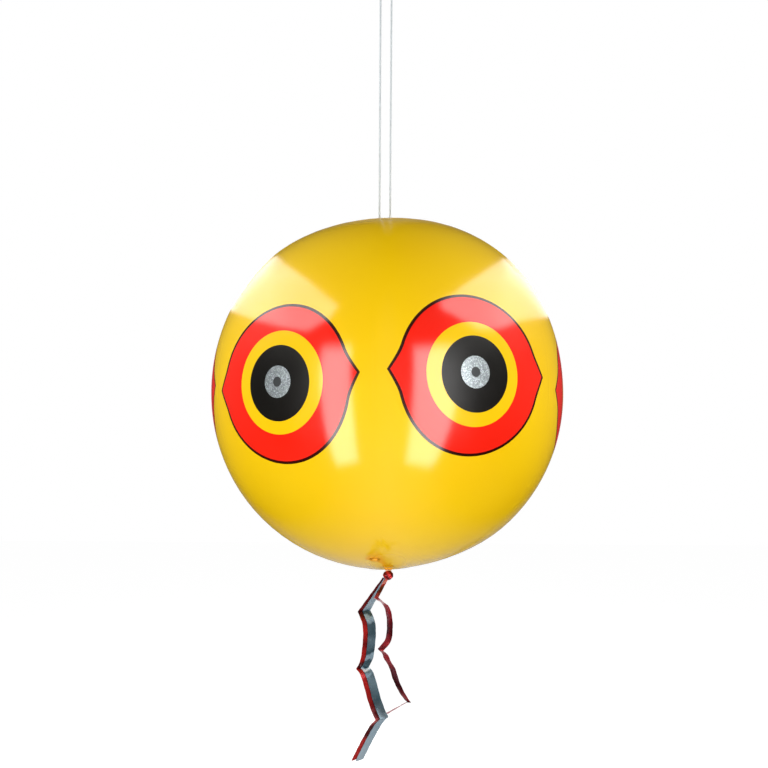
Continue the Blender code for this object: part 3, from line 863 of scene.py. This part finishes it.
FLANGE_TOP = -0.001226
SEAT = FLANGE_TOP - 0.0026
HEAD_TOP = FLANGE_TOP - 0.0004
STEM_END = -0.012
CUP_PROFILE = (
    (0.0052, FLANGE_TOP - 0.0003), (0.0055, FLANGE_TOP), (0.0092, FLANGE_TOP), (0.0095, -0.0015),
    (0.0095, FLANGE_TOP - 0.0008), (0.0062, FLANGE_TOP - 0.0008), (0.0062, SEAT - 0.001),
    (0.0044, SEAT - 0.001), (0.0044, STEM_END), (0.0034, STEM_END), (0.0034, SEAT - 0.0004),
    (0.0038, SEAT), (0.0049, SEAT), (0.0052, SEAT + 0.0003),
)
LIP_PROFILE = (
    (0.0064, 0.00002), (0.006, -0.0002), (0.0055, -0.0006), (0.0052, -0.001),
    (0.00503, -0.0014), (0.0053, -0.0012), (0.0057, -0.0008), (0.0064, -0.0003),
)
PLUG_PROFILE = (
    (0, HEAD_TOP - 0.0002), (0.0018, HEAD_TOP - 0.0002), (0.003, HEAD_TOP), (0.0045, HEAD_TOP),
    (0.0049, HEAD_TOP - 0.0003), (0.0049, HEAD_TOP - 0.0013), (0.0045, HEAD_TOP - 0.0016),
    (0.0032, HEAD_TOP - 0.0016), (0.0032, SEAT - 0.005), (0.0026, SEAT - 0.006),
    (0, SEAT - 0.006),
)
FLAP_TOP = STEM_END - 0.0003
FLAP_FOOT = FLAP_TOP - 0.0005
FLAP_PROFILE = (
    (0, FLAP_TOP), (0.0041, FLAP_TOP), (0.0044, FLAP_TOP - 0.0001), (0.0044, FLAP_FOOT + 0.0001),
    (0.0041, FLAP_FOOT), (0, FLAP_FOOT),
)
# The plug's grip: (height over the head, half its width, half its thickness)
GRIP_LEVELS = ((-0.0004, 0.003, 0.0008), (0.0008, 0.0028, 0.0006), (0.0018, 0.0026, 0.00055),
               (0.0021, 0.0021, 0.0004), (0.0022, 0.001, 0.0002))
GRIP_POINTS = 20
STRAP_SECTION = ((-0.0011, 0.0044), (0.0011, 0.0044), (0.001, 0.0049), (-0.001, 0.0049))


def rounded(value):
    """A cosine or sine drawn out, so that an oval made of it is nearly a rectangle."""
    return copysign(abs(value) ** 0.5, value)


def build_valve():
    base = turned("valve_cup", CUP_PROFILE, "balloon")
    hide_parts("valve_base")
    lip = turned("valve_lip", LIP_PROFILE, "balloon")
    plug = turned("valve_plug_body", PLUG_PROFILE, "plug")
    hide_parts("valve_plug")
    levels = []
    for height, wide, thick in GRIP_LEVELS:
        levels.append([at_valve(wide * rounded(cos(a)), thick * rounded(sin(a)),
                                HEAD_TOP + height) for a in bearings_round(GRIP_POINTS)])
    grip = loft("valve_plug_grip", levels, VINYL, "plug", caps=True)
    flap = turned("valve_flap_disc", FLAP_PROFILE, "flap")
    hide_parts("valve_flap")
    heights = np.linspace(SEAT + 0.0003, HEAD_TOP - 0.0004, 6)
    levels = [[at_valve(x, y, height) for x, y in STRAP_SECTION] for height in heights]
    strap = loft("plug_strap_band", levels, VINYL, "plug", caps=True)
    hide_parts("plug_strap")


build_valve()


# The tab that the foil is tied to, and the round-cornered patch that welds it to the film
PATCH_HALF_WIDTH = 0.0052
PATCH_HALF_LENGTH = 0.0075
PATCH_LIFT = 0.0009
PATCH_SHARES = (0, 0.3, 0.6, 0.8, 0.9, 0.96, 1.0)
PATCH_PRESS = (0, 0, 0, 0.0001, 0.0001, 0.0002, 0.00065)
NECK_TOP = 0.0003
NECK_LENGTH = 0.0066
NECK_HALF_TOP = 0.0049
NECK_NARROWER = 0.0026
NECK_NARROWS_OVER = 0.6
NECK_RIPPLE = 0.0006
NECK_SWAY = 0.0002
NECK_FILM = 0.00044
# Its band of weld and its dark line, down from its root: (place, half width in steps, step)
NECK_WELD = (0.0002, 1.6, 0.0008)
NECK_LINE = (0.0017, 1.6, 0.0004)
NECK_LINE_DEPTH = 0.85


def build_patch():
    around = bearings_round(PATCH_POINTS)
    c, s = np.cos(around), np.sin(around)
    reach = 1 / (np.abs(c) ** 4 + np.abs(s) ** 4) ** 0.25
    width = PATCH_HALF_WIDTH / (BALL_RADIUS * cos(TAIL[0]))
    length = PATCH_HALF_LENGTH / BALL_RADIUS
    rings = [(TAIL[0] + s * reach * share * length, TAIL[1] + c * reach * share * width)
             for share in PATCH_SHARES]
    film_patch("tail_patch_film", "tail_patch", rings, PATCH_LIFT, PATCH_PRESS)


def build_neck():
    across = np.linspace(-1, 1, 9)
    sections = []
    for share in np.linspace(0, 1, 31):
        z = NECK_TOP - NECK_LENGTH * share
        width = NECK_HALF_TOP - NECK_NARROWER * min(1, share / NECK_NARROWS_OVER) ** 0.8
        sway = NECK_SWAY * sin(share * 7)
        line = [(u * width, NECK_RIPPLE * share * cos(u * 5.2 + 0.6) + sway) for u in across]
        front = [TAB_ROOT + Vector((x, y - NECK_FILM / 2, z)) for x, y in line]
        back = [TAB_ROOT + Vector((x, y + NECK_FILM / 2, z)) for x, y in reversed(line)]
        sections.append(front + back)
    # Its film is tan, as painted shade and floor reflection
    tail_tab = loft("tail_tab_film", sections, NECK, None, caps=True)
    below = np.array([TAB_ROOT.z - vertex.co.z for vertex in tail_tab.data.vertices])
    for field, (place, half, step), most in (("fold", NECK_WELD, 1),
                                             ("seam", NECK_LINE, NECK_LINE_DEPTH)):
        set_field(tail_tab, field, np.clip(half - np.abs(below - place) / step, 0, most))
    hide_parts("tail_tab")
    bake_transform(tail_tab)


build_patch()
build_neck()


# Foil streamers
TAPE_WIDTH = 0.012
TAPE_FILM = 0.00012
TAPE_NORMAL = Vector((1, -1, 0)).normalized()
TAPE_ACROSS = Vector((1, 1, 0)).normalized()
# The two long tapes lie in one plane: (x, z) from the knot, and which of these are sharp folds
LONG_TAPE = (
    (-0.003, -0.0024), (-0.0125, -0.021), (-0.0237, -0.0409), (-0.0188, -0.0513),
    (-0.0174, -0.0627), (-0.0182, -0.077), (-0.0203, -0.0916), (-0.0248, -0.1014),
    (-0.0198, -0.107), (-0.0152, -0.1197), (-0.0115, -0.1317), (-0.0065, -0.1432),
    (-0.0033, -0.1486), (-0.0094, -0.1565), (-0.0191, -0.1757), (-0.0302, -0.2004),
)
LONG_FOLDS = (2, 7, 12)
LONG_GATHERED = (0.25, 0.7)
TAPE_STEP = 0.0016
TAPE_CURL = 0.0004
# Crinkles: (height, turns from row to row, turns across)
CRINKLES = ((0.00012, 0.9, 2.1), (0.00007, 2.3, -4))
# How far the painted reflection tones' edges wander along the tape: (length, turns from row to row,
# turns across)
REFLECTION_TONE_WANDER = (0.0014, 0.37, 1.7)
# The short tape: a place from the knot, and half the tape's width as a direction
UPPER_HALF = (0.0031, -0.0051)
LOWER_HALF = (0.0034, -0.0049)
SHORT_TAPE = (
    (-0.0023, -0.0012, -0.0042, (0.0018, -0.0024)),
    (-0.0128, -0.0075, -0.0226, (0.0025, -0.004, 0.0008)),
    (-0.0055, -0.0032, -0.0281, (0.0028, -0.005)),
    (-0.002, -0.0012, -0.032, UPPER_HALF),
    (0.0005, 0.0003, -0.0387, UPPER_HALF),
    (0.002, 0.0012, -0.051, UPPER_HALF),
    (0.0011, 0.0006, -0.0646, UPPER_HALF),
    (-0.0019, -0.0011, -0.0708, UPPER_HALF),
    (-0.0079, -0.0046, -0.0769, UPPER_HALF),
    (-0.003, -0.0018, -0.0816, LOWER_HALF),
    (-0.0006, -0.0003, -0.0877, LOWER_HALF),
    (0.0048, 0.0028, -0.0972, LOWER_HALF),
    (0.0091, 0.0053, -0.1105, LOWER_HALF),
    (0.0155, 0.0091, -0.1241, LOWER_HALF),
    (0.0218, 0.013, -0.134, (0.0032, -0.005)),
    (0.0206, 0.0133, -0.1349, (-0.0012, -0.0057, 0.0012)),
    (-0.002, 0.023, -0.15, (-0.0028, -0.0052, 0.001)),
)
SHORT_FOLDS = (1, 2, 8, 14)
# Painted reflection and shade along each tape: (distance down from the knot in metres, tone from 0
# dark to 1 glint)
SILVER_REFLECTION_TONES = (
    (0, 0.7), (0.034, 0.85), (0.0405, 0.8), (0.0412, 0.02), (0.0452, 0.05), (0.0455, 0.8),
    (0.0515, 0.75), (0.052, 0.12), (0.066, 0.1), (0.071, 0.3), (0.077, 0.2), (0.083, 0.05),
    (0.0855, 0.05), (0.086, 0.75), (0.0925, 0.8), (0.093, 0.12), (0.101, 0.05), (0.1015, 0.98),
    (0.1035, 0.95), (0.104, 0.1), (0.115, 0.3), (0.121, 0.2), (0.133, 0.05), (0.142, 0.22),
    (0.148, 0.5), (0.149, 0.8), (0.2, 0.85),
)
RED_REFLECTION_TONES = (
    (0, 0.1), (0.03, 0.2), (0.038, 0.3), (0.0405, 0.02), (0.046, 0.05), (0.05, 0.4), (0.058, 0.7),
    (0.068, 0.6), (0.074, 0.25), (0.08, 0.6), (0.092, 0.65), (0.096, 0.1), (0.1012, 0.02),
    (0.102, 0.75), (0.104, 0.55), (0.12, 0.6), (0.134, 0.3), (0.144, 0.05), (0.148, 0.1),
    (0.1495, 0.85), (0.152, 0.45), (0.158, 0.05), (0.168, 0.1), (0.172, 0.7), (0.19, 0.75),
    (0.2, 0.7),
)
SHORT_REFLECTION_TONES = (
    (0, 0.8), (0.008, 0.88), (0.0115, 0.3), (0.013, 0.02), (0.018, 0.1), (0.0205, 0.55),
    (0.0225, 0.5), (0.0229, 0.92), (0.0285, 0.92), (0.031, 0.6), (0.04, 0.35), (0.05, 0.1),
    (0.061, 0.03), (0.066, 0.25), (0.07, 0.55), (0.0765, 0.1), (0.0775, 0.75), (0.083, 0.45),
    (0.09, 0.5), (0.099, 0.15), (0.115, 0.03), (0.125, 0.2), (0.131, 0.5), (0.1335, 0.02),
    (0.1344, 0.3), (0.1352, 0.93), (0.142, 0.92), (0.146, 0.87), (0.16, 0.86),
)


def long_stations(across, nest, shorter):
    """A long tape's middle and half width by station, moved across, nested behind the other
    one, and cut shorter at its end."""
    stations = []
    for i, (x, z) in enumerate(LONG_TAPE):
        share = LONG_GATHERED[i] if i < len(LONG_GATHERED) else 1.0
        middle = Vector((x, -x, z)) - TAPE_ACROSS * across * share - TAPE_NORMAL * nest
        stations.append([middle, TAPE_ACROSS * TAPE_WIDTH / 2 * share])
    step = stations[-1][0] - stations[-2][0]
    stations[-1][0] -= step.normalized() * shorter
    return stations


def run_rows(part):
    """Points and half widths at even steps along the smooth run between two folds."""
    middles = [middle for middle, half in part]
    marks = distances(middles)
    curve = smooth_route(middles, TAPE_STEP)
    along = distances(curve)
    along *= marks[-1] / along[-1]
    halves = [np.interp(along, marks, [half[axis] for middle, half in part]) for axis in range(3)]
    return [(point, Vector(half)) for point, half in zip(curve, zip(*halves))]


def tape(name, stations, folds, reflection_tones, material, body):
    """A tape through the stations: smooth between its folds, with a slight curl and crinkles."""
    rows = []
    ends = [0, *folds, len(stations) - 1]
    for first, last in zip(ends, ends[1:]):
        run = run_rows(stations[first:last + 1])
        rows.extend(run[1:] if first else run)

    def waves(form, i, u):
        size, along, across = form
        return size * sin(i * along + u * across + len(stations))

    sections = []
    depths = []
    for i, (middle, half) in enumerate(rows):
        ahead = rows[min(i + 1, len(rows) - 1)][0] - rows[max(i - 1, 0)][0]
        normal = half.cross(ahead).normalized()
        line = []
        depth = []
        for u in np.linspace(-1, 1, 9):
            off = sum(waves(form, i, u) for form in CRINKLES) - TAPE_CURL * (1 - u * u)
            line.append(KNOT_CENTRE + middle + half * u + normal * off)
            depth.append(-middle.z + waves(REFLECTION_TONE_WANDER, i, u))
        back = [p - normal * TAPE_FILM for p in line]
        sections.append(line + back[::-1])
        depths += depth + depth[::-1]
    obj = loft(name, sections, material, None, caps=True)
    obj.data.set_sharp_from_angle(angle=radians(40))
    # Painted reflection and shade, by the distance down from the knot
    set_field(obj, "tone", np.interp(depths, *zip(*reflection_tones)))
    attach(obj, body)
    return obj


# The foil knot's half sizes, the shares of them that stay, fold and crease, and how far its
# lower half may reach from its middle: that much at the middle, and more towards the back, up
# to a depth. The short tape sways in front of it.
FOIL_KNOT_SIZE = (0.006, 0.0056, 0.0054)
FOIL_KNOT_STAYS = 0.86
FOIL_KNOT_FOLDS = 0.08
FOIL_KNOT_CREASES = 0.1
FOIL_KNOT_ROOM = 0.0051
FOIL_KNOT_FLARE = 0.33
FOIL_KNOT_FLARE_DEPTH = 0.002


def foil_knot():
    """A crumpled ball of foil, whose lower front leaves room for the short tape's sway."""
    bm = bmesh.new()
    bmesh.ops.create_icosphere(bm, subdivisions=3, radius=1)
    points = []
    for vertex in bm.verts:
        p = vertex.co
        fold = sin(p.x * 5.1 + p.z * 3.3) * cos(p.y * 4.7 - p.z * 4.1)
        crease = abs(sin(p.x * 3.4 - p.z * 4.6 + 0.7))
        share = FOIL_KNOT_STAYS + FOIL_KNOT_FOLDS * fold + FOIL_KNOT_CREASES * crease
        place = p * Vector(FOIL_KNOT_SIZE) * share
        reach = hypot(place.x, place.z)
        room = FOIL_KNOT_ROOM + FOIL_KNOT_FLARE * min(place.y, FOIL_KNOT_FLARE_DEPTH)
        if place.z < 0 and reach > room:
            place.x *= room / reach
            place.z *= room / reach
        points.append(place)
    faces = [[vertex.index for vertex in face.verts] for face in bm.faces]
    bm.free()
    obj = new_piece("foil_knot", [KNOT_CENTRE + p for p in points], faces, RED_FOIL, smooth=False)
    # Painted reflection and shade in waves over the knot's facets
    set_field(obj, "tone", [0.4 + 0.4 * sin(p.x * 900 + p.z * 700) for p in points])
    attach(obj, "streamer_tab")
    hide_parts("tail_knot")


foil_knot()
short_stations = [(Vector(middle), Vector((*half, 0)[:3])) for *middle, half in SHORT_TAPE]
for name, stations, folds, reflection_tones, material, body, node, slot in (
    ("tape_silver", long_stations(0, 0, 0), LONG_FOLDS, SILVER_REFLECTION_TONES, SILVER_FOIL,
     "long_streamers", "tail_silver", "silver_foil"),
    ("tape_red", long_stations(0.006, 0.0012, 0.0025), LONG_FOLDS, RED_REFLECTION_TONES, RED_FOIL,
     "long_streamers", "tail_red", "red_foil"),
    ("tape_short", short_stations, SHORT_FOLDS, SHORT_REFLECTION_TONES, PINK_LIT_RED_FOIL, "short_streamer",
     "tail_short", "red_foil"),
):
    piece = tape(name, stations, folds, reflection_tones, material, body)
    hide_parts(node)


# Camera: it stands a little below the ball's middle and looks a little over it
SENSOR = 36
PICTURE_PIXELS = 768
FOCAL_PIXELS = 862.2
VIEW_X = 0.0039
VIEW_DISTANCE = 1.0
VIEW_BELOW = radians(5)
VIEW_YAW = radians(0.21052)
VIEW_PITCH = radians(5.61011)
VIEW_ROLL = radians(0.35)

camera_data = bpy.data.cameras.new("Camera")
camera_data.sensor_width = SENSOR
camera_data.lens = FOCAL_PIXELS / PICTURE_PIXELS * SENSOR
camera = new_object("Camera", camera_data)
bpy.context.scene.camera = camera
view_from = (VIEW_X, -VIEW_DISTANCE * cos(VIEW_BELOW),
             BALL_CENTRE[2] - VIEW_DISTANCE * sin(VIEW_BELOW))
camera.matrix_world = (
    Matrix.Translation(view_from) @ Matrix.Rotation(VIEW_YAW, 4, "Z")
    @ Matrix.Rotation(pi / 2 + VIEW_PITCH, 4, "X") @ Matrix.Rotation(VIEW_ROLL, 4, "Z")
)


# Light
def direction(azimuth, elevation, distance):
    """A point at a distance from the ball's middle: azimuth 0 is towards -Y, +90 towards +X."""
    a, e = radians(azimuth), radians(elevation)
    ray = Vector((sin(a) * cos(e), -cos(a) * cos(e), sin(e)))
    return Vector(BALL_CENTRE) + ray * distance


def area_light(name, azimuth, elevation, distance, size, power):
    """A lamp turned to the ball that gloss doesn't see."""
    data = bpy.data.lights.new(name, "AREA")
    data.shape = "RECTANGLE"
    data.size, data.size_y = size
    data.energy = power
    light = new_object(name, data)
    light.location = direction(azimuth, elevation, distance)
    towards = Vector(BALL_CENTRE) - light.location
    light.rotation_euler = towards.to_track_quat("-Z", "Y").to_euler()
    light.visible_camera = False
    light.visible_glossy = False


# Where along Y the cards' light starts to fall, and over how far
LIGHT_FALLS = (-0.3, 0.9)


def reflection_card(name, distance, corners, strength, soft, behind=1.0):
    """A glowing panel that only gloss sees. Its light fades over its soft edge, and falls to
    the share named behind on the far side of the ball."""
    outer = [direction(azimuth, elevation, distance) for azimuth, elevation in corners]
    middle = sum(outer, Vector()) / len(outer)
    count = len(outer)
    rings = [[middle + (p - middle) * (1 + soft * k) for p in outer] for k in (-0.5, 0.5)]
    points = [middle, *rings[0], *rings[1]]
    faces = []
    for k in range(count):
        m = (k + 1) % count
        faces.append([0, 1 + k, 1 + m])
        faces.append([1 + k, 1 + count + k, 1 + count + m, 1 + m])
    nodes = material_nodes(name)
    level = nodes.math("MULTIPLY", nodes.field("glow"), strength)
    material = nodes.surface(nodes.add("Emission", {"Strength": level}).outputs[0])
    card = new_piece(name, points, faces, material, smooth=False)
    glow = 1 + (behind - 1) * rising(np.array([point.y for point in points]), *LIGHT_FALLS)
    glow[1 + count:] = 0
    set_field(card, "glow", glow)
    for ray in ("camera", "diffuse", "shadow", "transmission"):
        setattr(card, f"visible_{ray}", False)


# Each card's corners as (azimuth, elevation) from the ball's middle
LEFT_FAN = (
    (-170, 11), (-172.5, 14.5), (-156.6, 29.5), (-149.5, 34.8), (-139.9, 40.7), (-121.7, 47.4),
    (-89, 52), (-52, 46.7), (-34.5, 40), (-37.3, 33), (-50, 26), (-69, 27), (-97, 27.5),
    (-127.5, 24.3), (-146.5, 19.4),
)
RIGHT_FAN = (
    (169.5, 10.5), (171.8, 14.5), (151.3, 32.3), (145.9, 35.9), (137.1, 40.6), (124, 45.7),
    (100.7, 50.4), (82, 51), (60, 48.5), (47, 44.7), (36, 41.5), (37, 37.5), (48, 31.5), (59, 26.2),
    (74, 25.6), (97, 26.8), (112.4, 25.2), (126.1, 22.7), (143.7, 18.7),
)
LEFT_WINDOW = (
    (-37.1, 18), (-20.4, 18), (-19.3, -5.5), (-18.9, -21), (-19.7, -40.8), (-35.4, -41.8),
    (-35.9, -29), (-36.1, -12.4),
)
RIGHT_WINDOW = (
    (14.8, 17.6), (40, 18.2), (38.7, -4.3), (37.3, -17), (32.5, -42.9), (13.2, -41.5), (13.7, -21),
    (14.2, -2.8),
)
reflection_card("card_left", 1.3, LEFT_FAN, 5.5, 0.05, behind=0.3)
reflection_card("card_right", 1.3, RIGHT_FAN, 5.5, 0.05, behind=0.3)
reflection_card("window_left", 1.05, LEFT_WINDOW, 8.0, 0.2)
reflection_card("window_right", 1.05, RIGHT_WINDOW, 8.0, 0.2)
# Each lamp's azimuth, elevation and distance from the ball's middle, its size and its power
area_light("front_left", -40, -6, 1.6, (1.0, 1.2), 14.7)
area_light("front_right", 36, -5, 1.6, (1.0, 1.2), 14.7)
area_light("side_left", -97, 32, 1.5, (1.0, 0.8), 12.0)
area_light("side_right", 97, 32, 1.5, (1.0, 0.8), 12.0)
area_light("back", 180, 8, 1.8, (1.4, 1.0), 15.0)


def world_part(nodes, looking, operation):
    """The x, y and z of the way a ray looks, or with ABSOLUTE their sizes."""
    way = nodes.add("VectorMath", {0: looking}, operation=operation).outputs[0]
    return nodes.add("SeparateXYZ", {0: way}).outputs


def build_world():
    """The camera sees a white backdrop. Gloss sees a studio that is light in front, behind and
    below, and darker overhead and at the sides."""
    world = bpy.data.worlds.new("World")
    bpy.context.scene.world = world
    nodes = Nodes(world)
    ray = nodes.add("LightPath").outputs
    looking = nodes.add("TexCoord").outputs["Generated"]
    height = world_part(nodes, looking, "NORMALIZE")["Z"]
    size = world_part(nodes, looking, "ABSOLUTE")
    front = nodes.math("MULTIPLY_ADD", size["Y"], 0.22, 0.28)
    front = nodes.math("MULTIPLY_ADD", size["X"], -1.2, front)
    front = nodes.math("MULTIPLY_ADD", height, -0.4, front, clamp=True)
    sides = nodes.math("MULTIPLY", size["X"], nodes.math("MULTIPLY_ADD", height, 0.26, 0.12))
    studio = nodes.math("MAXIMUM", front, sides, clamp=True)
    gloss = nodes.math("MULTIPLY", ray["Is Glossy Ray"], studio)
    white = nodes.math("MAXIMUM", ray["Is Camera Ray"], ray["Is Transmission Ray"])
    soft = nodes.math("MULTIPLY_ADD", height, -0.2, 0.25)
    soft = nodes.math("MULTIPLY", ray["Is Diffuse Ray"], soft)
    level = nodes.math("MAXIMUM", nodes.math("MAXIMUM", white, gloss), soft)
    background = nodes.tree.nodes["Background"]
    background.inputs["Color"].default_value = (1, 1, 1, 1)
    nodes.put(background.inputs["Strength"], level)


# The floor, far below the ball, glows for the camera only so that it joins the backdrop
FLOOR_LEVEL = -1.35
FLOOR_HALF = 8
FLOOR_GREY = 0.6
FLOOR_GLOW = 0.92


def build_floor():
    nodes = material_nodes("Pale floor")
    matt = nodes.add("BsdfDiffuse", {"Color": (FLOOR_GREY, FLOOR_GREY, FLOOR_GREY, 1)})
    seen = nodes.add("LightPath").outputs["Is Camera Ray"]
    glow = nodes.add("Emission", {"Strength": nodes.math("MULTIPLY", seen, FLOOR_GLOW)})
    both = nodes.add("AddShader", {0: matt.outputs[0], 1: glow.outputs[0]})
    material = nodes.surface(both.outputs[0])
    corners = [(x * FLOOR_HALF, y * FLOOR_HALF, FLOOR_LEVEL)
               for x, y in ((-1, -1), (1, -1), (1, 1), (-1, 1))]
    floor = new_piece("floor", corners, [[0, 1, 2, 3]], material, smooth=False)
    floor.visible_glossy = False


build_world()
build_floor()
bpy.context.scene.view_settings.view_transform = "Standard"
